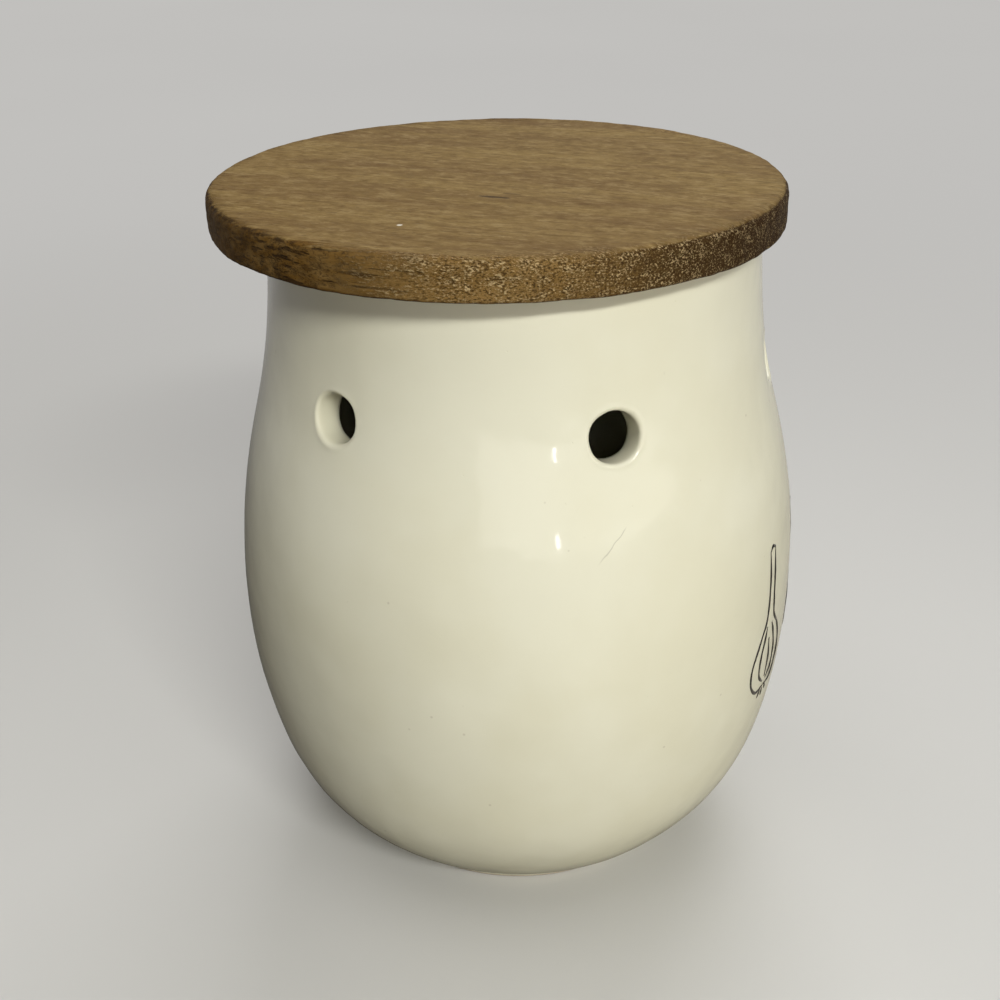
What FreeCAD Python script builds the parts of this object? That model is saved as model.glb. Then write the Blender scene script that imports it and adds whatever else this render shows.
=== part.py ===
import FreeCAD, Part
import math
import os

# A garlic keeper: a one-piece glazed stoneware jar with a ring of air vents under its rim, closed
# by a round wooden lid. The lid is a board with a smaller disc glued under it, and a silicone ring
# in that disc's groove holds it in the jar's neck.
#
# Millimetres, +Z up. The origin is the centre of the face that the foot ring stands on. The jar's
# decorated front faces -Y, midway between two vents.

# ---- Driving dimensions ----

# Jar, outside, from the rim down
jar_height = 131.5          # standing face to rim
rim_radius = 46.0
belly_radius = 56.2         # widest place
heel_radius = 52.5          # where the belly turns in towards the foot
foot_radius = 33.0
neck_drop = 37.0            # rim to where the neck's hollow curve becomes the full curve of the belly
belly_height = 58.5         # standing face to the widest place
heel_height = 28.5          # standing face to where the heel starts
foot_height = 1.5

# Jar, inside and edges
wall = 4.2
floor_thickness = 4.2
foot_ring_width = 5.0
foot_recess = 1.5
rim_round = 1.6
floor_round = 6.0
foot_round = 0.5

# Vents, bored square to the wall
vent_count = 6
vent_diameter = 8.8
vent_drop = 25.9            # rim to the middle of a vent
vent_round = 1.0

# Lid board, which its maker glued a little off the plug's centre
board_diameter = 106.0
board_thickness = 7.3
board_round = 0.6
board_offset = 3.2
board_offset_angle = 85.0   # degrees from +X towards +Y

# Lid plug and its groove
plug_gap = 3.4              # neck bore to plug, all round
plug_thickness = 10.0
plug_round = 1.0
groove_depth = 2.2
groove_height = 5.4
groove_drop = 2.0           # board to the groove

# Silicone ring
seal_clearance = 0.2        # fins to the neck's bore
seal_play = 0.1             # ring to the groove, on every side
fin_count = 2
fin_root = 1.5              # thickness where a fin leaves the band
fin_tip = 0.7
fin_rise = 0.5              # how far a tip is above its root

most_round = 0.45           # a rounding's largest share of the wall that it lies on
flat_within = 1e-3          # how far from level an edge may be and still count as level

# ---- The jar's outline ----

# A station is radius, height and tilt: the angle by which the wall's outward normal looks up. The
# wall between two stations is one arc, and it meets the next arc tangentially.
neck_height = jar_height - neck_drop
flare = belly_radius - rim_radius
neck_tilt = 2 * math.atan(flare / (jar_height - belly_height))
neck_radius = rim_radius + neck_drop * math.tan(neck_tilt / 2)
heel_tilt = -2 * math.atan((belly_radius - heel_radius) / (belly_height - heel_height))
foot_chord = math.atan((heel_radius - foot_radius) / (heel_height - foot_height))
foot_tilt = -2 * foot_chord - heel_tilt

stations = [
    (rim_radius, jar_height, 0.0),
    (neck_radius, neck_height, neck_tilt),
    (belly_radius, belly_height, 0.0),
    (heel_radius, heel_height, heel_tilt),
    (foot_radius, foot_height, foot_tilt),
]


def inset(station, depth):
    """The place that lies depth inside the wall's outer face at a station."""
    radius, height, tilt = station
    return radius - depth * math.cos(tilt), height - depth * math.sin(tilt)


def arc_middle(first, second, depth):
    """The middle of the arc between two stations, depth inside the outer face."""
    r0, z0 = inset(first, depth)
    r1, z1 = inset(second, depth)
    turn = second[2] - first[2]
    tilt = (first[2] + second[2]) / 2
    bow = -math.hypot(r1 - r0, z1 - z0) / 2 * math.tan(turn / 4)
    return (r0 + r1) / 2 + bow * math.cos(tilt), (z0 + z1) / 2 + bow * math.sin(tilt)


def wall_at(height):
    """The wall's outer radius and tilt at a height."""
    for first, second in zip(stations, stations[1:]):
        if first[1] >= height >= second[1]:
            arc = (first[1] - second[1]) / (math.sin(first[2]) - math.sin(second[2]))
            tilt = math.asin(math.sin(first[2]) - (first[1] - height) / arc)
            return first[0] + arc * (math.cos(tilt) - math.cos(first[2])), tilt


def point(radius, height):
    return FreeCAD.Vector(radius, 0, height)


def turned(edges):
    """A solid of revolution about Z from a closed outline in the XZ plane."""
    face = Part.Face(Part.Wire(edges))
    return face.revolve(FreeCAD.Vector(0, 0, 0), FreeCAD.Vector(0, 0, 1), 360)


def polygon(corners):
    """The straight edges of a closed outline given as (radius, height) corners."""
    places = [point(*corner) for corner in corners]
    return [Part.makeLine(a, b) for a, b in zip(places, places[1:] + places[:1])]


def wall_arcs(depth):
    """The wall's arcs, depth inside its outer face, from the rim to the foot."""
    arcs = []
    for first, second in zip(stations, stations[1:]):
        ends = point(*inset(first, depth)), point(*inset(second, depth))
        middle = point(*arc_middle(first, second, depth))
        arcs.append(Part.Arc(ends[0], middle, ends[1]).toShape())
    return arcs


def filled_wall(depth, low):
    """All that the wall encloses at a depth inside its outer face, down to the height low."""
    top_radius, top = inset(stations[0], depth)
    end_radius, end = inset(stations[-1], depth)
    closing = [
        Part.makeLine(point(end_radius, end), point(end_radius, low)),
        Part.makeLine(point(end_radius, low), point(0, low)),
        Part.makeLine(point(0, low), point(0, top)),
        Part.makeLine(point(0, top), point(top_radius, top)),
    ]
    return turned(wall_arcs(depth) + closing)


def rings_at(shape, height):
    """The round edges that lie flat at a height."""
    rings = []
    for edge in shape.Edges:
        half_way = (edge.FirstParameter + edge.LastParameter) / 2
        heights = [edge.valueAt(t).z for t in (edge.FirstParameter, half_way)]
        if edge.isClosed() and all(abs(z - height) < flat_within for z in heights):
            rings.append(edge)
    return rings


# ---- Jar ----

vent_height = jar_height - vent_drop
vent_radius = vent_diameter / 2


def vent_cutter():
    """What one vent takes out of the wall: a bore along +Z with a rounded lip at each end. The
    wall's outer face is at height 0, and the cutter runs on past both faces."""
    lip = min(vent_round, most_round * wall)
    wide = vent_radius + lip
    ease = lip * (1 - math.sqrt(0.5))
    outer = point(wide, 0), point(vent_radius + ease, -ease), point(vent_radius, -lip)
    inner = point(vent_radius, lip - wall), point(vent_radius + ease, ease - wall), point(wide, -wall)
    ends = point(wide, -2 * wall), point(0, -2 * wall), point(0, wall), point(wide, wall)
    edges = [Part.Arc(*outer).toShape(), Part.Arc(*inner).toShape()]
    turns = [outer[2], inner[0]], [inner[2], ends[0]], ends[:2], ends[1:3], ends[2:], [ends[3], outer[0]]
    edges += [Part.makeLine(*pair) for pair in turns]
    return turned(Part.sortEdges(edges)[0])


def vent_cutters():
    """One cutter for each vent, square to the wall, evenly spaced from the front."""
    radius, tilt = wall_at(vent_height)
    cutters = []
    for i in range(vent_count):
        turn = math.radians(-90 + (i + 0.5) * 360 / vent_count)
        out = FreeCAD.Vector(
            math.cos(tilt) * math.cos(turn), math.cos(tilt) * math.sin(turn), math.sin(tilt)
        )
        mouth = FreeCAD.Vector(radius * math.cos(turn), radius * math.sin(turn), vent_height)
        cutter = vent_cutter()
        cutter.Placement = FreeCAD.Placement(mouth, FreeCAD.Rotation(point(0, 1), out))
        cutters.append(cutter)
    return cutters


def make_jar():
    floor_height = foot_recess + floor_thickness
    recess_radius = foot_radius - foot_ring_width
    body = filled_wall(0, 0)
    hollow = filled_wall(wall, foot_recess)
    hollow = hollow.common(Part.makeCylinder(2 * belly_radius, jar_height, point(0, floor_height)))
    jar = body.cut(hollow).removeSplitter()
    jar = jar.makeFillet(floor_round, rings_at(jar, floor_height))
    jar = jar.cut(Part.makeCylinder(recess_radius, foot_recess))
    jar = jar.makeFillet(min(foot_round, most_round * foot_height), rings_at(jar, 0))
    jar = jar.makeFillet(min(rim_round, most_round * wall), rings_at(jar, jar_height))
    return jar.cut(vent_cutters())


# ---- Lid ----

neck_bore = rim_radius - wall
plug_radius = neck_bore - plug_gap
plug_bottom = jar_height - plug_thickness
groove_top = jar_height - groove_drop
groove_bottom = groove_top - groove_height
groove_radius = plug_radius - groove_depth


def make_board():
    angle = math.radians(board_offset_angle)
    corner = FreeCAD.Vector(
        board_offset * math.cos(angle), board_offset * math.sin(angle), jar_height
    )
    board = Part.makeCylinder(board_diameter / 2, board_thickness, corner)
    edges = rings_at(board, jar_height) + rings_at(board, jar_height + board_thickness)
    return board.makeFillet(min(board_round, most_round * board_thickness), edges)


def make_plug():
    plug = turned(polygon([
        (0, plug_bottom),
        (plug_radius, plug_bottom),
        (plug_radius, groove_bottom),
        (groove_radius, groove_bottom),
        (groove_radius, groove_top),
        (plug_radius, groove_top),
        (plug_radius, jar_height),
        (0, jar_height),
    ]))
    lip = groove_bottom - plug_bottom
    return plug.makeFillet(min(plug_round, most_round * lip), rings_at(plug, plug_bottom))


def make_seal():
    band_inner = groove_radius + seal_play
    band_outer = plug_radius
    band_top = groove_top - seal_play
    band_bottom = groove_bottom + seal_play
    fin_reach = neck_bore - seal_clearance
    pitch = (band_top - band_bottom) / fin_count
    corners = [(band_inner, band_bottom), (band_outer, band_bottom)]
    for i in range(fin_count):
        root = band_bottom + (i + 0.5) * pitch
        tip = root + fin_rise
        corners += [
            (band_outer, root - fin_root / 2),
            (fin_reach, tip - fin_tip / 2),
            (fin_reach, tip + fin_tip / 2),
            (band_outer, root + fin_root / 2),
        ]
    corners += [(band_outer, band_top), (band_inner, band_top)]
    return turned(polygon(corners))


# ---- Files ----

pieces = {
    "jar": make_jar(),
    "lid_board": make_board(),
    "lid_plug": make_plug(),
    "lid_seal": make_seal(),
}

os.makedirs("parts", exist_ok=True)
for name, shape in pieces.items():
    solid = shape.Solids[0]
    solid.exportStep("parts/" + name + ".step")
    print(name, len(shape.Solids), solid.isValid(), round(solid.Volume))
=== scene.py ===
import math

import bmesh
import bpy
from mathutils import Matrix, Vector


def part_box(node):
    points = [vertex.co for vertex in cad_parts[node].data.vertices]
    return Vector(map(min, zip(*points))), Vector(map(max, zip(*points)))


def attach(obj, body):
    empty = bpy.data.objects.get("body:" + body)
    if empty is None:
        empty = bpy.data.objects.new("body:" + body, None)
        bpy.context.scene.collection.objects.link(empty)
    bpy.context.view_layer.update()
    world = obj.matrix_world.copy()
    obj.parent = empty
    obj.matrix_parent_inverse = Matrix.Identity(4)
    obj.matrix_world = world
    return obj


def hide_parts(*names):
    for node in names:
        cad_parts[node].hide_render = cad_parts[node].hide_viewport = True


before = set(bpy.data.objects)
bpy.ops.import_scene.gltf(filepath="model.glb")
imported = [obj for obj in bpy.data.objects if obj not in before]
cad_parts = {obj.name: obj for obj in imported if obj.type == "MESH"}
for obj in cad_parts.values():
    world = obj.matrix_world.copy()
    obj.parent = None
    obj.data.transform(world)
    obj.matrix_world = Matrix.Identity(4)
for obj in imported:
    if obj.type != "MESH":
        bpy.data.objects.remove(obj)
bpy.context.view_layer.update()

bpy.ops.object.select_all(action="DESELECT")

# ---- Jar ----
# One piece of stoneware: a foot ring, a rounded belly and a straight neck, slip-cast, punched with
# six air vents under the rim while the clay was soft, then dipped in a glossy cream glaze. Only the
# foot ring, which stood on the kiln shelf, is bare.
jar_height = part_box("jar")[1].z
belly_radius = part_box("jar")[1].x
rim_radius = 0.0460
heel_radius = 0.0525
foot_radius = 0.0330
neck_drop = 0.0370              # rim to where the neck's hollow curve becomes the belly's full one
belly_height = 0.0585
heel_height = 0.0285
foot_height = 0.0015
foot_ring_width = 0.0050
foot_edge = 0.0004
wall = 0.0042
floor_height = 0.0057
floor_round = 0.0060
basin_width = 0.0080            # from the inner wall to where its turn into the floor is centred
rim_round = 0.0016
first_turn = 22.5               # degrees that a rounding has already turned at its first point

vent_count = 6
vent_radius = 0.0045
vent_drop = 0.0259
vent_lip = 0.0006
bead_width = 0.0014             # the soft clay stood up a little round each punch
bead_height = 0.00009
burr_height = 0.0012            # the collar that the punch pushed up inside
burr_width = 0.0020
jar_columns = 96
vent_cells = 2                  # columns and rows from a vent's middle to the edge of its patch
patch_cut = 0.85                # the share of a patch that is cut out before its vent is drawn
dot_size = 0.001                # a small plane, which is merged into one vertex
merge_distance = 0.00002

punch_wobble = 0.0004           # how far a vent's bead wanders in and out
punch_wave = 0.0035             # and the size of its waves
unevenness = 0.0005             # how far the hand-finished wall wanders
wall_wave = 0.030
ease_off = 0.008                # the wall's unevenness fades out over this much at foot and rim
even_rim = 0.001                # and leaves this much below the rim as it is

glaze_cream = (0.795, 0.770, 0.620)
glaze_deep = (0.760, 0.730, 0.570)
glaze_speck = (0.420, 0.360, 0.260)
glaze_ripple = 0.00035
glaze_peel = 0.000022
glaze_low, clay_high = 0.0009, 0.0005           # heights between which the glaze ends
bare_clay = (0.560, 0.475, 0.370)
scratch_start = Vector((-0.0522, -0.0010, 0.0907))
scratch_end = Vector((-0.0533, 0.0052, 0.0846))
scratch_width = 0.00016
scratch_sway = 0.0022
scratch_limits = 0.020, 0.015   # no part of the jar as far off as this is scratched
scratch_brown = (0.250, 0.220, 0.150)

neck_tilt = 2 * math.atan((belly_radius - rim_radius) / (jar_height - belly_height))
heel_tilt = -2 * math.atan((belly_radius - heel_radius) / (belly_height - heel_height))
foot_chord = math.atan((heel_radius - foot_radius) / (heel_height - foot_height))
stations = [
    (rim_radius, jar_height, 0.0),
    (rim_radius + neck_drop * math.tan(neck_tilt / 2), jar_height - neck_drop, neck_tilt),
    (belly_radius, belly_height, 0.0),
    (heel_radius, heel_height, heel_tilt),
    (foot_radius, foot_height, -2 * foot_chord - heel_tilt),
]


def wall_at(height):
    """The jar's outer radius at a height, and the angle by which its outer face looks up."""
    for upper, lower in zip(stations, stations[1:]):
        if height >= lower[1]:
            break
    arc = (upper[1] - lower[1]) / (math.sin(upper[2]) - math.sin(lower[2]))
    sine = math.sin(upper[2]) - (upper[1] - height) / arc
    tilt = math.asin(max(-1, min(1, sine)))
    return upper[0] + arc * (math.cos(tilt) - math.cos(upper[2])), tilt


def spaced(start, end, count):
    """Evenly spaced values from start up to, but without, end."""
    return [start + (end - start) * i / count for i in range(count)]


def arc_points(centre, radii, first, last, count):
    """Points of an ellipse from one angle to another, in degrees, both ends included."""
    angles = [math.radians(first + (last - first) * i / count) for i in range(count + 1)]
    return [(centre[0] + radii[0] * math.cos(a), centre[1] + radii[1] * math.sin(a)) for a in angles]


def add_vertex(place):
    """In edit mode, adds one loose vertex, which is then all that is selected."""
    bpy.ops.mesh.select_all(action="DESELECT")
    bpy.ops.mesh.primitive_plane_add(size=dot_size, location=place)
    bpy.ops.mesh.merge(type="CENTER")


def start_piece(name):
    """A new mesh object that is one vertex at the origin, left in edit mode."""
    bpy.ops.object.select_all(action="DESELECT")
    bpy.ops.mesh.primitive_plane_add(size=dot_size)
    bpy.context.object.name = name
    bpy.context.object.data.name = name
    bpy.ops.object.mode_set(mode="EDIT")
    bpy.ops.mesh.merge(type="CENTER")
    return bpy.context.object


def turn_piece(name, outline, columns):
    """A solid turned about Z from an outline of (radius, height) points, left in edit mode."""
    piece = start_piece(name)
    bpy.ops.transform.translate(value=(outline[0][0], 0, outline[0][1]))
    for (r0, z0), (r1, z1) in zip(outline, outline[1:]):
        bpy.ops.mesh.extrude_region_move(TRANSFORM_OT_translate={"value": (r1 - r0, 0, z1 - z0)})
    bpy.ops.mesh.select_all(action="SELECT")
    bpy.ops.mesh.spin(steps=columns, angle=2 * math.pi, center=(0, 0, 0), axis=(0, 0, 1))
    bpy.ops.mesh.select_all(action="SELECT")
    bpy.ops.mesh.remove_doubles(threshold=merge_distance)
    bpy.ops.mesh.normals_make_consistent(inside=False)
    bpy.ops.mesh.select_all(action="DESELECT")
    return piece


def pick(piece, test):
    """In edit mode, selects only the vertices that pass a test, and what lies between them."""
    bpy.ops.mesh.select_all(action="DESELECT")
    cage = bmesh.from_edit_mesh(piece.data)
    for vertex in cage.verts:
        vertex.select_set(test(vertex))
    cage.select_flush(True)
    bmesh.update_edit_mesh(piece.data)


def use_modifier(piece, kind, **settings):
    """Adds a modifier to a piece that is in object mode and applies it."""
    bpy.context.view_layer.objects.active = piece
    modifier = piece.modifiers.new(kind.lower(), kind)
    for name, value in settings.items():
        setattr(modifier, name, value)
    bpy.ops.object.modifier_apply(modifier=modifier.name)


def roughen(piece, name, grain_size, depth, part):
    """Moves a part of a piece, which is a vertex group, in and out by a cloudy pattern."""
    clouds = bpy.data.textures.new(name, "CLOUDS")
    clouds.noise_scale = grain_size
    clouds.noise_depth = 2
    settings = {"texture": clouds, "strength": depth, "mid_level": 0.5, "texture_coords": "LOCAL"}
    use_modifier(piece, "DISPLACE", vertex_group=part, **settings)


def group_where(piece, name, share):
    """A vertex group whose weights come from a function of a vertex's place."""
    group = piece.vertex_groups.new(name=name)
    for vertex in piece.data.vertices:
        weight = max(0, min(1, share(vertex.co)))
        if weight:
            group.add([vertex.index], weight, "REPLACE")


vent_axes = [math.radians(-90 + (i + 0.5) * 360 / vent_count) for i in range(vent_count)]
vent_height = jar_height - vent_drop
patch = vent_cells * 2 * math.pi * wall_at(vent_height)[0] / jar_columns
vent_rows = spaced(vent_height + patch, vent_height - patch, 2 * vent_cells)
neck_rows = spaced(jar_height - rim_round, vent_rows[0], 5)
belly_rows = spaced(vent_height - patch, heel_height, 14)
heel_rows = spaced(heel_height, foot_height, 8)
rows = neck_rows + vent_rows + belly_rows + heel_rows

outer_face = [(wall_at(height)[0], height) for height in rows] + [(foot_radius, foot_height)]
inner_face = []
for height in rows:
    radius, tilt = wall_at(height)
    inner_face.append((radius - wall * math.cos(tilt), height - wall * math.sin(tilt)))
inner_face = [place for place in inner_face if place[1] > floor_height + floor_round]

ring_inner = foot_radius - foot_ring_width
foot = [
    (foot_radius, foot_edge),
    (foot_radius - foot_edge, 0),
    (foot_radius - foot_ring_width / 2, 0),
    (ring_inner + foot_edge, 0),
    (ring_inner, foot_edge),
    (ring_inner, foot_height - foot_edge),
    (ring_inner - foot_edge, foot_height),
    (ring_inner * 2 / 3, foot_height),
    (ring_inner / 3, foot_height),
    (0, foot_height),
]
rim_outside = rim_radius - rim_round, jar_height - rim_round
rim_inside = rim_radius - wall + rim_round, jar_height - rim_round
rim = arc_points(rim_outside, (rim_round, rim_round), first_turn, 90, 3)
rim += arc_points(rim_inside, (rim_round, rim_round), 90, 180 - first_turn, 3)
corner = inner_face[-1]
basin_centre = corner[0] - basin_width, corner[1]
basin = arc_points(basin_centre, (basin_width, corner[1] - floor_height), -first_turn, -90, 3)
basin += [(radius, floor_height) for radius in spaced(basin_centre[0], 0, 4)[1:]] + [(0, floor_height)]

jar = turn_piece("jar_body", foot[::-1] + outer_face[::-1] + rim + inner_face + basin, jar_columns)


def draw_ring(radius, shift):
    """Extrudes the selected open edge to a round ring of a radius, and shifts it."""
    bpy.ops.mesh.extrude_region_move()
    bpy.ops.transform.tosphere(value=1)
    ring = [vertex.co.copy() for vertex in bmesh.from_edit_mesh(jar.data).verts if vertex.select]
    middle = sum(ring, Vector()) / len(ring)
    reach = sum((place - middle).length for place in ring) / len(ring)
    bpy.ops.transform.resize(value=(radius / reach,) * 3, center_override=middle)
    bpy.ops.transform.translate(value=shift)


def open_vent(azimuth):
    """Punches one vent, square to the wall, at an azimuth where a column of the mesh runs."""
    radius, tilt = wall_at(vent_height)
    level = Vector((math.cos(azimuth), math.sin(azimuth), 0))
    out = level * math.cos(tilt) + Vector((0, 0, math.sin(tilt)))
    middle = level * radius + Vector((0, 0, vent_height)) - out * wall / 2

    def sides_of(place):
        """How far a place is from the vent's axis, and how far outside the wall's middle."""
        away = place - middle
        depth = away.dot(out)
        return (away - out * depth).length, depth

    def in_patch(vertex):
        off, depth = sides_of(vertex.co)
        return off < patch_cut * patch and abs(depth) < wall

    pick(jar, in_patch)
    bpy.ops.mesh.delete(type="VERT")

    swell = 6 / (4 + 2 * math.cos(math.pi / (4 * vent_cells)))     # subdivision draws rings in
    ease = vent_lip * (1 - math.sqrt(0.5))
    lip = [
        (vent_radius + bead_width, 0),
        (vent_radius + 0.6 * bead_width, bead_height),
        (vent_radius + vent_lip, 0),
        (vent_radius + ease, -ease - bead_height),
        (vent_radius, ease - vent_lip),
    ]
    burr = [
        (vent_radius + burr_width, 0),
        (vent_radius + 0.7 * burr_width, -0.5 * burr_height),
        (vent_radius + 0.4 * burr_width, -0.5 * burr_height),
        (vent_radius + ease, 0),
        (vent_radius, vent_lip - ease),
    ]
    for side, rings in ((1, lip), (-1, burr)):
        pick(jar, lambda v: v.is_boundary and sides_of(v.co)[1] * side > 0)
        for ring_radius, rise in rings:
            draw_ring(ring_radius * swell, out * rise)
    pick(jar, lambda v: v.is_boundary)
    bpy.ops.mesh.bridge_edge_loops()


for vent_axis in vent_axes:
    open_vent(vent_axis)
bpy.ops.object.mode_set(mode="OBJECT")
use_modifier(jar, "SUBSURF", levels=1, render_levels=1)


def near_vent(place):
    """1 at the edge of a vent's bore, and 0 from the bead outwards."""
    azimuth = math.atan2(place.y, place.x)
    spread = min(abs(math.remainder(azimuth - axis, 2 * math.pi)) for axis in vent_axes)
    off = math.hypot(math.hypot(place.x, place.y) * spread, place.z - vent_height)
    return 1 - (off - vent_radius) / bead_width


group_where(jar, "vents", near_vent)
roughen(jar, "vent_wobble", punch_wave, punch_wobble, part="vents")
group_where(jar, "wall", lambda place: min(place.z, jar_height - even_rim - place.z) / ease_off)
roughen(jar, "jar_unevenness", wall_wave, unevenness, part="wall")
bpy.ops.object.shade_smooth()


class Strand:
    """One output of a material's nodes. Sums on it add Math nodes."""

    def __init__(self, tree, socket=None):
        self.tree = tree
        self.socket = socket

    def node(self, kind, settings, sockets, output=0):
        """Any node: its settings are set first, then the values or links of its sockets."""
        new = self.tree.nodes.new(kind)
        for name, value in settings.items():
            setattr(new, name, value)
        for key, value in sockets.items():
            if isinstance(value, Strand):
                self.tree.links.new(value.socket, new.inputs[key])
            elif isinstance(value, tuple) and new.inputs[key].type == "RGBA":
                new.inputs[key].default_value = (*value, 1)
            else:
                new.inputs[key].default_value = value
        return Strand(self.tree, new.outputs[output])

    def maths(self, operation, *others):
        return self.node("ShaderNodeMath", {"operation": operation}, dict(enumerate((self, *others))))

    def __add__(self, other):
        return self.maths("ADD", other)

    def __sub__(self, other):
        return self.maths("SUBTRACT", other)

    def __rsub__(self, other):
        return self.node("ShaderNodeMath", {"operation": "SUBTRACT"}, {0: other, 1: self})

    def __mul__(self, other):
        return self.maths("MULTIPLY", other)

    def __truediv__(self, other):
        return self.maths("DIVIDE", other)

    __radd__ = __add__
    __rmul__ = __mul__

    def between(self, low, high):
        """0 at low, 1 at high and smooth in between; high may be the lower of the two."""
        sockets = {"Value": self, "From Min": low, "From Max": high}
        return self.node("ShaderNodeMapRange", {"interpolation_type": "SMOOTHSTEP"}, sockets)

    def tint(self, plain, full):
        """The colour plain where this is 0, and full where it is 1."""
        settings = {"data_type": "RGBA", "clamp_factor": True}
        return self.node("ShaderNodeMix", settings, {0: self, 6: plain, 7: full}, output=2)

    def axis(self, letter):
        return self.node("ShaderNodeSeparateXYZ", {}, {0: self}, output=letter)

    def length(self):
        return self.node("ShaderNodeVectorMath", {"operation": "LENGTH"}, {0: self}, output="Value")

    def share(self, direction):
        """How far this vector reaches in a direction."""
        sockets = {0: self, 1: tuple(direction)}
        return self.node("ShaderNodeVectorMath", {"operation": "DOT_PRODUCT"}, sockets, output="Value")

    def moved(self, scale=(1, 1, 1), turn=(0, 0, 0), shift=(0, 0, 0)):
        """This vector scaled, then turned, then shifted, to place or stretch a pattern."""
        sockets = {"Vector": self, "Scale": scale, "Rotation": turn, "Location": shift}
        return self.node("ShaderNodeMapping", {"vector_type": "POINT"}, sockets)

    def noise(self, scale, detail=2.0, roughness=0.5):
        """Cloudy noise, from 0 to 1, at the places that this vector gives."""
        sockets = {"Vector": self, "Scale": scale, "Detail": detail, "Roughness": roughness}
        return self.node("ShaderNodeTexNoise", {}, sockets)

    def cells(self, scale, output):
        """Random cells round scattered points: the Distance to a point, or a cell's Color."""
        return self.node("ShaderNodeTexVoronoi", {}, {"Vector": self, "Scale": scale}, output)

    def relief(self, depth, under=None):
        """The normal of a surface that this raises by depth metres, on another normal."""
        sockets = {"Height": self, "Distance": depth}
        if under:
            sockets["Normal"] = under
        return self.node("ShaderNodeBump", {}, sockets)


def new_finish(name, **constants):
    """A material, its shader and its Object coordinates; a socket is named with _ for a space."""
    finish = bpy.data.materials.new(name)
    finish.use_nodes = True
    tree = finish.node_tree
    shader = tree.nodes["Principled BSDF"]
    for socket, value in constants.items():
        shader.inputs[socket.replace("_", " ")].default_value = value
    return finish, shader, Strand(tree).node("ShaderNodeTexCoord", {}, {}, output="Object")


def feed(shader, **strands):
    """Links strands to the shader's sockets, named with _ for a space."""
    for name, strand in strands.items():
        strand.tree.links.new(strand.socket, shader.inputs[name.replace("_", " ")])


glaze, shader, places = new_finish("cream_glaze", IOR=1.52)
cloud = places.noise(38, detail=3).between(0.35, 0.68)
cream = cloud.tint(glaze_cream, glaze_deep)
speck_rarity = places.cells(330, "Color").axis("X").between(0.86, 0.90)
speck = places.cells(330, "Distance").between(0.11, 0.05) * speck_rarity
cream = (speck * 0.35).tint(cream, glaze_speck)
scratch_run = scratch_end - scratch_start
from_scratch = places.moved(shift=-scratch_start)
scratch_bend = (places.noise(210, detail=2) - 0.5) * scratch_sway
scratch_off = from_scratch.share(scratch_run.cross(scratch_start).normalized()) + scratch_bend
scratch_part = from_scratch.share(scratch_run / scratch_run.length_squared)
scratch = scratch_off.maths("ABSOLUTE").between(scratch_width, 0)
scratch = scratch * scratch_part.between(0, 0.15) * scratch_part.between(1, 0.7)
scratch = scratch * from_scratch.length().between(*scratch_limits)
cream = (scratch * 0.4).tint(cream, scratch_brown)
bare = places.axis("Z").between(glaze_low, clay_high)
clay_grain = places.noise(2600, detail=3)
clay = clay_grain.between(0.3, 0.7).tint(bare_clay, tuple(1.2 * part for part in bare_clay))
ripple = places.noise(62, detail=2).relief(glaze_ripple)
pit_rarity = places.cells(520, "Color").axis("Y").between(0.88, 0.9)
pits = places.cells(520, "Distance").between(0.10, 0.02) * pit_rarity
peel = (places.noise(420, detail=1) + (1 - pits) * 2.0).relief(glaze_peel, under=ripple)
gloss = places.noise(90, detail=2).between(0.3, 0.75)
feed(
    shader,
    Base_Color=bare.tint(cream, clay),
    Roughness=bare * 0.75 + (0.05 + gloss * 0.05),
    Normal=peel,
)
jar.data.materials.append(glaze)
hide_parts("jar")
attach(jar, "jar")

# ---- Garlic drawings ----
# A row of tall thin garlic bulbs round the front of the belly, drawn by hand in black enamel with
# a fine brush and fired on. The enamel stands a little proud of the glaze.
bulb_count = 5
bulb_spacing = math.radians(25)
bulb_height = 0.0310            # root to tip
bulb_half_width = math.radians(7.0)
bulb_base = 0.0435
stem_start = 0.45               # the share of a bulb's height above which its stem leans
stem_lean = 0.30                # the most that one leans
height_change = 0.05            # the most that a bulb's height differs from bulb_height, as a share
hand_shake = 0.03               # how far the brush wanders, in half widths
stroke_steps = 4
brush_radius = 0.00046
brush_tip = 0.82                # a stroke's width at its ends, and what each point in from them adds
brush_press = 0.06
brush_pulse = 0.07
enamel_sink = 0.00027           # the middle of a stroke below the glaze
enamel_black = (0.016, 0.012, 0.010)
enamel_thin = (0.050, 0.038, 0.028)

# A stroke's places are (across, up): half widths from the middle, and heights from the root.
half_outline = [(0.04, 0.02), (0.50, 0.02), (0.92, 0.13), (0.97, 0.27), (0.66, 0.42), (0.30, 0.52),
                (0.19, 0.62), (0.16, 0.78), (0.20, 0.99)]
half_clove = [(0.10, 0.06), (0.44, 0.14), (0.52, 0.27), (0.34, 0.40), (0.17, 0.48)]
middle_clove = [(0.00, 0.09), (0.06, 0.24), (0.01, 0.38)]
roots = [[(0.00, 0.00), (0.02, -0.06)], [(0.18, 0.01), (0.26, -0.04)], [(-0.16, 0.01), (-0.24, -0.05)]]
tip = [(-0.19, 0.985), (-0.02, 1.01), (0.20, 0.99)]


def mirrored(stroke):
    return [(-across, up) for across, up in stroke]


def smooth_stroke(knots, steps):
    """Points of one smooth line through its knots."""
    ends = [knots[0]] + knots + [knots[-1]]
    points = []
    for before, start, end, after in zip(ends, ends[1:], ends[2:], ends[3:]):
        for i in range(steps):
            t = i / steps
            points.append(tuple(
                (2 * b + (c - a) * t + (2 * a - 5 * b + 4 * c - d) * t ** 2
                 + (3 * b - a - 3 * c + d) * t ** 3) / 2
                for a, b, c, d in zip(before, start, end, after)
            ))
    return points + [knots[-1]]


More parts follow.
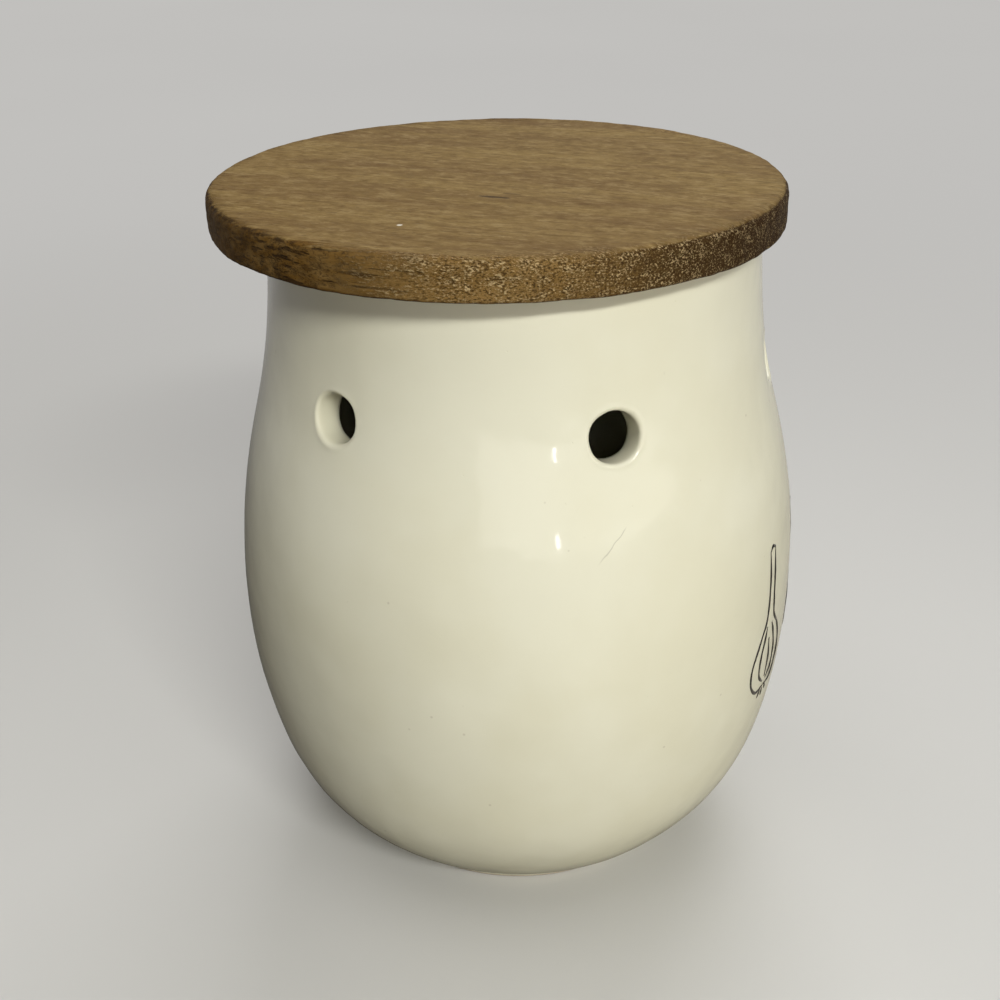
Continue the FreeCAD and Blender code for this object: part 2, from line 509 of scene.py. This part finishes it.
def draw_bulb(index):
    """One bulb's strokes as chains of edges just outside the wall, each bulb a little different."""
    facing = math.radians(-90) + (index - (bulb_count - 1) / 2) * bulb_spacing
    lean = stem_lean * math.sin(2.1 * index + 0.7)
    stretch = 1 + height_change * math.sin(3.7 * index)
    strokes = [half_outline, mirrored(half_outline), half_clove, mirrored(half_clove), middle_clove, tip]
    for stroke in strokes + roots:
        last = None
        for across, up in smooth_stroke(stroke, stroke_steps):
            shake = hand_shake * math.sin(9 * up + 5 * index + 3 * across)
            across += lean * max(0, up - stem_start) ** 2 * 2 + shake
            azimuth = facing + across * bulb_half_width
            height = bulb_base + up * bulb_height * stretch
            radius = wall_at(height)[0] + unevenness
            place = Vector((radius * math.cos(azimuth), radius * math.sin(azimuth), height))
            if last is None:
                add_vertex(place)
            else:
                bpy.ops.mesh.extrude_region_move(TRANSFORM_OT_translate={"value": place - last})
            last = place


drawing = start_piece("garlic_drawing")
bpy.ops.mesh.delete(type="VERT")
for i in range(bulb_count):
    draw_bulb(i)
bpy.ops.object.mode_set(mode="OBJECT")
onto_glaze = {"target": jar, "wrap_method": "NEAREST_SURFACEPOINT", "offset": -enamel_sink}
use_modifier(drawing, "SHRINKWRAP", **onto_glaze)
bpy.ops.object.convert(target="CURVE")
for spline in drawing.data.splines:
    for i, point in enumerate(spline.points):
        from_end = min(i, len(spline.points) - 1 - i)
        pulse = brush_pulse * math.sin(1.3 * i + len(spline.points))
        point.radius = min(1, brush_tip + brush_press * from_end) * (1 + pulse)
drawing.data.bevel_depth = brush_radius
drawing.data.bevel_resolution = 2
drawing.data.use_fill_caps = True
bpy.ops.object.convert(target="MESH")
bpy.ops.object.shade_smooth()

enamel, shader, places = new_finish("black_enamel", IOR=1.5)
thin = places.noise(700, detail=2).between(0.55, 0.8)
feed(shader, Base_Color=thin.tint(enamel_black, enamel_thin), Roughness=0.16 + thin * 0.12)
drawing.data.materials.clear()
drawing.data.materials.append(enamel)
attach(drawing, "jar")

# ---- Lid plug ----
# A disc of the same hardwood as the board, glued under it. It enters the neck with room all round,
# and a groove round its edge holds the sealing ring.
plug_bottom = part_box("lid_plug")[0].z
plug_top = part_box("lid_plug")[1].z
plug_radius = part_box("lid_plug")[1].x
groove_depth = 0.0022
groove_height = 0.0054
groove_drop = 0.0020
plug_round = 0.0010
groove_top = plug_top - groove_drop
groove_bottom = groove_top - groove_height
groove_radius = plug_radius - groove_depth
edge_gap = 0.0002               # rows this far from an edge keep it crisp when it is subdivided
plug_columns = 96
plug_grain = math.radians(12)   # the azimuth of the plug's fibres
plug_timber = (0.31, 0.17, 0.05)        # where in the timber the plug was cut, in its pattern's metres

wood_mid = (0.236, 0.152, 0.050)
wood_deep = (0.168, 0.098, 0.031)
wood_dark = (0.086, 0.045, 0.012)
wood_golden = (0.276, 0.184, 0.060)
wood_pale = (0.366, 0.266, 0.120)
wood_side = (0.125, 0.063, 0.012)
wood_amber = (0.270, 0.162, 0.052)
wood_end_and_shade = (0.028, 0.012, 0.002)
pale_pore_and_glint = (0.560, 0.410, 0.210)
wood_crack_and_shade = (0.026, 0.011, 0.003)
wood_wear = 0.0036              # how far the saw's torn edge reaches in from the rim
wood_relief = 0.00012
fibre_sway = 0.006, 0.002       # how far the fibres wander across and down

plug_outline = [(radius, plug_bottom) for radius in spaced(0, plug_radius - plug_round, 5)]
plug_outline += arc_points(
    (plug_radius - plug_round, plug_bottom + plug_round), (plug_round, plug_round), -90, 0, 3
)
plug_outline += [
    (plug_radius, groove_bottom - edge_gap),
    (plug_radius, groove_bottom),
    (plug_radius - edge_gap, groove_bottom),
    (groove_radius + edge_gap, groove_bottom),
    (groove_radius, groove_bottom),
    (groove_radius, groove_bottom + edge_gap),
    (groove_radius, groove_top - edge_gap),
    (groove_radius, groove_top),
    (groove_radius + edge_gap, groove_top),
    (plug_radius - edge_gap, groove_top),
    (plug_radius, groove_top),
    (plug_radius, groove_top + edge_gap),
    (plug_radius, plug_top - edge_gap),
    (plug_radius, plug_top),
    (plug_radius - edge_gap, plug_top),
    (plug_radius / 2, plug_top),
    (0, plug_top),
]
plug = turn_piece("lid_plug_disc", plug_outline, plug_columns)
bpy.ops.object.mode_set(mode="OBJECT")
use_modifier(plug, "SUBSURF", levels=1, render_levels=1)
bpy.ops.object.shade_smooth()


def wood_finish(name, middle, reach, grain_azimuth, seed, marks=()):
    """Oiled hardwood for a disc of radius reach: one solid pattern of fibres that run along a level
    direction. Sawn across, at the disc's ends, they show as dark end grain. Its pores are drawn only on
    the half of the rim that faces the key lamp, with pale dots that are partly pores and partly a painted
    glint. On the other half the rounded edges get painted shade, and every sawn face that looks down is
    darkened as painted shade. Each scale is in waves a metre, along the fibres and then twice across them.
    A mark is a small fault on the face: its place, length, width and colour."""
    finish, shader, places = new_finish(name, IOR=1.45, Specular_IOR_Level=0.10)
    along = places.moved(turn=(0, 0, -grain_azimuth), shift=seed)
    drift = along.moved(scale=(14, 30, 30)).noise(1, detail=2) - 0.5
    sway = along.node("ShaderNodeCombineXYZ", {}, {"Y": drift * fibre_sway[0], "Z": drift * fibre_sway[1]})
    fibres = along.node("ShaderNodeVectorMath", {"operation": "ADD"}, {0: along, 1: sway})

    band = fibres.moved(scale=(8, 170, 120)).noise(1, detail=3, roughness=0.6)
    patch = fibres.moved(scale=(14, 45, 45)).noise(1, detail=3)
    streak = fibres.moved(scale=(80, 800, 800)).noise(1, detail=2)
    hair = fibres.moved(scale=(380, 2100, 2100)).noise(1, detail=3, roughness=0.7)
    pore = fibres.moved(scale=(480, 1900, 1900)).noise(1)
    grains = fibres.moved(scale=(1500, 3600, 3600)).noise(1, detail=2, roughness=0.7)
    mottle = fibres.moved(scale=(260, 560, 560)).noise(1, detail=4, roughness=0.75)
    fissure = fibres.moved(scale=(34, 600, 1300)).noise(1, detail=3, roughness=0.6)

    grain = Vector((-math.cos(grain_azimuth), -math.sin(grain_azimuth), 0))
    from_middle = places.moved(scale=(1, 1, 0), shift=(-middle.x, -middle.y, 0))
    out_from_middle = from_middle.length()
    lengthwise = from_middle.share(grain) / out_from_middle
    end_grain = (lengthwise * lengthwise).between(0.06, 0.62)
    upright = places.node("ShaderNodeTexCoord", {}, {}, output="Normal").axis("Z")
    ragged = (streak - 0.5) * 0.010 + (fissure - 0.5) * 0.018
    torn = (reach - out_from_middle + ragged).between(wood_wear, 0) * (1 - end_grain * 0.7)
    steepness = upright * upright
    sawn = steepness.between(0.80, 0.40).maths("MAXIMUM", torn)

    colour = band.between(0.30, 0.70).tint(wood_mid, wood_deep)
    colour = (patch.between(0.42, 0.68) * 0.7).tint(colour, wood_golden)
    colour = (streak.between(0.50, 0.66) * 0.60).tint(colour, wood_deep)
    colour = (hair.between(0.52, 0.70) * 0.45).tint(colour, wood_dark)
    colour = (hair.between(0.46, 0.28) * 0.50).tint(colour, wood_pale)
    colour = (mottle.between(0.50, 0.64) * 0.36).tint(colour, wood_dark)
    colour = (mottle.between(0.50, 0.34) * 0.42).tint(colour, wood_pale)
    dash = pore.between(0.60, 0.72)
    colour = (dash * 0.50).tint(colour, wood_dark)
    for (x, y), length, width, paint in marks:
        spot = Matrix.Rotation(-grain_azimuth, 4, "Z") @ Vector((x, y, 0)) + Vector(seed)
        near = along.moved(shift=-spot).moved(scale=(1 / length, 1 / width, 0)).length()
        colour = ((near + (hair - 0.5) * 0.8).between(0.6, 0.4) * 0.8).tint(colour, paint)

    side = streak.between(0.35, 0.65).tint(wood_side, wood_deep)
    side = (mottle.between(0.45, 0.65) * 0.5).tint(side, wood_end_and_shade)
    cut = (end_grain * lengthwise.between(-1.4, 0.2)).tint(side, wood_end_and_shade)
    ripe = lengthwise.between(-0.25, 0.20) * lengthwise.between(1.0, 0.45)
    cut = (ripe * (0.55 + patch.between(0.40, 0.60) * 0.45)).tint(cut, wood_amber)
    crack = fissure.between(0.56, 0.66) * (1 - end_grain * 0.8) * (1 - ripe * 0.7)
    cut = (crack * 0.80).tint(cut, wood_crack_and_shade)
    # The end grain's pores are drawn only on the half of the rim that faces the key lamp. Their pale dots
    # there are partly pores and partly a painted glint.
    key_lit_half = lengthwise.between(-0.20, 0.25) * (1 - lengthwise.between(0.80, 1.0) * 0.4)
    cut = (grains.between(0.50, 0.38) * key_lit_half * 0.9).tint(cut, wood_end_and_shade)
    dot = (grains + (mottle - 0.5) * 0.5).between(0.53, 0.66)
    cut = (dot * key_lit_half).tint(cut, pale_pore_and_glint)
    # Painted shade: sawn faces that look down, under the board's edge and round the plug's foot, are
    # darkened towards the crack colour.
    cut = (upright.between(-0.1, -0.8) * 0.6).tint(cut, wood_crack_and_shade)
    # Painted shade: on the rounded edges, mostly on the half of the rim away from the key lamp, a dark
    # streaky band in the end grain's colour.
    shaded_brink = steepness.between(0.97, 0.70) * steepness.between(0.10, 0.50) * (1 - key_lit_half)
    painted_edge_shade = shaded_brink * (streak + mottle - 1).between(-0.10, 0.06)

    height = hair * 0.5 - dash * 0.6 + sawn * (dot * 1.6 - crack * 3.0 - streak)
    feed(
        shader,
        Base_Color=(painted_edge_shade * 0.75).tint(sawn.tint(colour, cut), wood_end_and_shade),
        Roughness=0.58 + hair * 0.20,
        Normal=height.relief(wood_relief),
    )
    return finish


plug_wood = wood_finish("plug_wood", Vector(), plug_radius, plug_grain, plug_timber)
plug.data.materials.append(plug_wood)
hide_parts("lid_plug")
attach(plug, "lid")

# ---- Sealing ring ----
# A moulded ring of milky silicone, stretched into the plug's groove. Two soft fins round it brush
# the inside of the neck and hold the lid down.
seal_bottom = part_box("lid_seal")[0].z
seal_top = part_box("lid_seal")[1].z
fin_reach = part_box("lid_seal")[1].x
seal_play = 0.0001              # ring to the groove
band_inner = groove_radius + seal_play
fin_count = 2
fin_root = 0.0015
fin_tip = 0.0007
fin_rise = 0.0005
seal_edge = 0.0002
milk_clear = (0.800, 0.810, 0.790)
milk_hazy = (0.720, 0.730, 0.700)

fin_pitch = (seal_top - seal_bottom) / fin_count
seal_outline = [(band_inner, seal_bottom), (plug_radius, seal_bottom)]
for i in range(fin_count):
    root = seal_bottom + (i + 0.5) * fin_pitch
    end = root + fin_rise
    seal_outline += [
        (plug_radius, root - fin_root / 2 - seal_edge),
        (plug_radius + seal_edge, root - fin_root / 2),
        ((plug_radius + fin_reach) / 2, (root + end) / 2 - (fin_root + fin_tip) / 4),
        (fin_reach - seal_edge, end - fin_tip / 2),
        (fin_reach, end - fin_tip / 4),
        (fin_reach, end + fin_tip / 4),
        (fin_reach - seal_edge, end + fin_tip / 2),
        ((plug_radius + fin_reach) / 2, (root + end) / 2 + (fin_root + fin_tip) / 4),
        (plug_radius + seal_edge, root + fin_root / 2),
        (plug_radius, root + fin_root / 2 + seal_edge),
    ]
seal_outline += [(plug_radius, seal_top), (band_inner, seal_top), (band_inner, seal_bottom)]
seal = turn_piece("seal_ring", seal_outline, plug_columns)
bpy.ops.object.mode_set(mode="OBJECT")
use_modifier(seal, "SUBSURF", levels=1, render_levels=1)
bpy.ops.object.shade_smooth()

silicone, shader, places = new_finish(
    "milky_silicone", IOR=1.41, Transmission_Weight=0.25, Subsurface_Weight=0.35, Subsurface_Scale=0.002,
)
haze = places.noise(240, detail=2).between(0.35, 0.7)
feed(
    shader,
    Base_Color=haze.tint(milk_clear, milk_hazy),
    Roughness=0.34 + haze * 0.14,
    Normal=places.noise(1500, detail=2).relief(0.00002),
)
seal.data.materials.append(silicone)
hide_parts("lid_seal")
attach(seal, "seal")

# ---- Lid board ----
# A disc sawn from one hardwood board, its edges barely eased and its rim left rough from the saw,
# then oiled. It is glued a little off the plug's middle and overhangs the neck all round.
board_low, board_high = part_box("lid_board")
board_middle = (board_low + board_high) / 2
board_radius = (board_high.x - board_low.x) / 2
board_round = 0.0007            # under the board
worn_round = 0.0016             # round its top
board_columns = 160
board_grain = math.radians(50)
board_timber = (0.0, 0.0, 0.0)
rim_wear = 0.00045              # how far the sawn rim wanders
rim_wave = 0.012                # the size of its waves
saw_mark = 0.0022               # and of the saw's marks on them
rim_reach = 0.003               # how far in from the rim both reach
wood_fleck = (0.750, 0.700, 0.600)

flat_radii = [0.0, 0.25, 0.5, 0.7, 0.85, 0.94]
rim_rows = 6
lower, upper = board_low.z + board_round, board_high.z - worn_round
board_outline = [(share * board_radius, board_low.z) for share in flat_radii]
board_outline += arc_points((board_radius - board_round, lower), (board_round, board_round), -90, 0, 2)
board_outline += [(board_radius, height) for height in spaced(lower, upper, rim_rows)[1:]]
board_outline += arc_points((board_radius - worn_round, upper), (worn_round, worn_round), 0, 90, 3)
board_outline += [(share * board_radius, board_high.z) for share in reversed(flat_radii)]
board = turn_piece("lid_board_disc", board_outline, board_columns)
bpy.ops.mesh.select_all(action="SELECT")
bpy.ops.transform.translate(value=(board_middle.x, board_middle.y, 0))
bpy.ops.object.mode_set(mode="OBJECT")
use_modifier(board, "SUBSURF", levels=2, render_levels=2)


def near_rim(place):
    """1 on the rim, and 0 from rim_reach inside it."""
    off = math.hypot(place.x - board_middle.x, place.y - board_middle.y)
    return 1 - (board_radius - off) / rim_reach


group_where(board, "rim", near_rim)
roughen(board, "rim_waves", rim_wave, rim_wear, part="rim")
roughen(board, "rim_saw_marks", saw_mark, rim_wear * 0.6, part="rim")
bpy.ops.object.shade_smooth()
board_marks = [
    ((-0.0148, 0.0090), 0.0060, 0.0011, wood_crack_and_shade),
    ((-0.0140, 0.0055), 0.0035, 0.0008, wood_dark),
    ((-0.0259, 0.0292), 0.0009, 0.0009, wood_fleck),
]
board_wood = wood_finish(
    "board_wood", board_middle, board_radius, board_grain, board_timber, board_marks
)
board.data.materials.append(board_wood)
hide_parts("lid_board")
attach(board, "lid")

# ---- Studio ----
# A pale floor that runs on past the view, a strip lamp above the viewer's right shoulder, a small
# low one that glints on the belly, and pale screens round about. None of it belongs to the keeper.
floor_reach = 8.0
floor_fade = 0.10, 0.60                 # distances over which the floor's shading fades out
backdrop = (0.64, 0.63, 0.61)
backdrop_light = 0.85
air_dip = 0.045                         # how much darker the air is, to match the floor far away
mirrored_light = 0.6
air_light = 0.03
bounce_side = (-0.423, -0.906, 0)       # towards the right of the view
bounce_edge = -0.11, 0.10               # distances that way over which the bounce grows
dim_bounce = (0.060, 0.054, 0.044)      # what the floor throws back on the keeper's left
full_bounce = (0.410, 0.385, 0.325)     # and on its right
bpy.ops.object.select_all(action="DESELECT")
bpy.ops.mesh.primitive_grid_add(x_subdivisions=4, y_subdivisions=4, size=2 * floor_reach)
floor = bpy.context.object
floor.name = "floor"
floor_paint, shader, places = new_finish("floor_paint", Roughness=0.5)
drift = places.noise(3.0).tint(backdrop, tuple(0.96 * part for part in backdrop))
to_camera = places.node("ShaderNodeLightPath", {}, {}, output="Is Camera Ray")
to_glaze = places.node("ShaderNodeLightPath", {}, {}, output="Is Glossy Ray")
bounce = places.share(bounce_side).between(*bounce_edge).tint(dim_bounce, full_bounce)
feed(shader, Base_Color=to_camera.tint(bounce, drift))
painted = Strand(places.tree, shader.outputs[0])
lit = places.node("ShaderNodeEmission", {}, {"Color": drift, "Strength": backdrop_light})
faraway = places.length().between(*floor_fade) * (to_camera + to_glaze)
mixed = places.node("ShaderNodeMixShader", {}, {0: faraway, 1: painted, 2: lit})
feed(places.tree.nodes["Material Output"], Surface=mixed)
floor.data.materials.append(floor_paint)

world = bpy.data.worlds.new("studio_air")
world.use_nodes = True
bpy.context.scene.world = world
air = world.node_tree.nodes["Background"]
air.inputs["Color"].default_value = (*backdrop, 1)
ray = Strand(world.node_tree).node("ShaderNodeLightPath", {}, {}, output="Is Camera Ray")
mirrored_ray = Strand(world.node_tree, ray.socket.node.outputs["Is Glossy Ray"])
feed(air, Strength=ray * (backdrop_light - air_dip) + mirrored_ray * mirrored_light + air_light)

view_azimuth = math.radians(-110)
white = (1, 1, 1)
mid_jar = (0, 0, 0.08)


def add_lamp(name, azimuth, elevation, distance, size, brightness, colour=white, aim=mid_jar):
    """A lamp that faces its aim and looks as bright as brightness white cards. Its azimuth, in
    degrees, counts from the view's; its size is its width and its height."""
    lamp_data = bpy.data.lights.new(name, "AREA")
    lamp_data.shape = "RECTANGLE"
    lamp_data.size, lamp_data.size_y = size
    lamp_data.energy = brightness * math.pi * size[0] * size[1]
    lamp_data.color = colour
    lamp = bpy.data.objects.new(name, lamp_data)
    bpy.context.scene.collection.objects.link(lamp)
    turn = Matrix.Rotation(view_azimuth + math.radians(azimuth), 4, "Z")
    tilt = Matrix.Rotation(math.radians(90 - elevation), 4, "X")
    lamp.matrix_world = Matrix.Translation(aim) @ turn @ tilt @ Matrix.Translation((0, 0, distance))


add_lamp("key_lamp", 16, 34, 1.10, (0.48, 0.08), 66, colour=(0.975, 0.985, 0.945))
add_lamp("top_screen", 0, 86, 1.10, (1.0, 1.0), 1.25)
add_lamp("front_screen", 28, 8, 1.30, (2.4, 0.8), 1.02, colour=(1, 0.97, 0.90))
add_lamp("left_screen", -110, 46, 2.60, (1.8, 1.2), 0.95, colour=(1, 0.95, 0.85))
add_lamp("back_screen", 165, 42, 2.60, (1.8, 1.2), 3.4)
add_lamp("small_lamp", 15, -1.2, 0.90, (0.016, 0.030), 26, aim=(-0.053, 0.011, 0.089))

# ---- Viewpoint ----
# The keeper is seen from its left side and a little from behind, from an arm's length away and
# from above the lid. Its decorated front faces away to the right.
view_distance = 0.2559          # level distance to the jar's axis
view_height = 0.1996            # above the counter
view_pitch = math.radians(26.60)
view_yaw = math.radians(-0.76)
view_roll = math.radians(-0.85)
view_lens = 49.93               # millimetres, on a sensor 36 wide

camera_data = bpy.data.cameras.new("camera")
camera_data.sensor_width = 36
camera_data.lens = view_lens
camera_data.clip_start = 0.01
camera = bpy.data.objects.new("camera", camera_data)
bpy.context.scene.collection.objects.link(camera)
stand = Matrix.Rotation(view_azimuth, 4, "Z") @ Matrix.Translation((0, -view_distance, view_height))
look = Matrix.Rotation(-view_yaw, 4, "Z") @ Matrix.Rotation(math.radians(90) - view_pitch, 4, "X")
camera.matrix_world = stand @ look @ Matrix.Rotation(view_roll, 4, "Z")
bpy.context.scene.camera = camera
bpy.context.scene.view_settings.view_transform = "Standard"
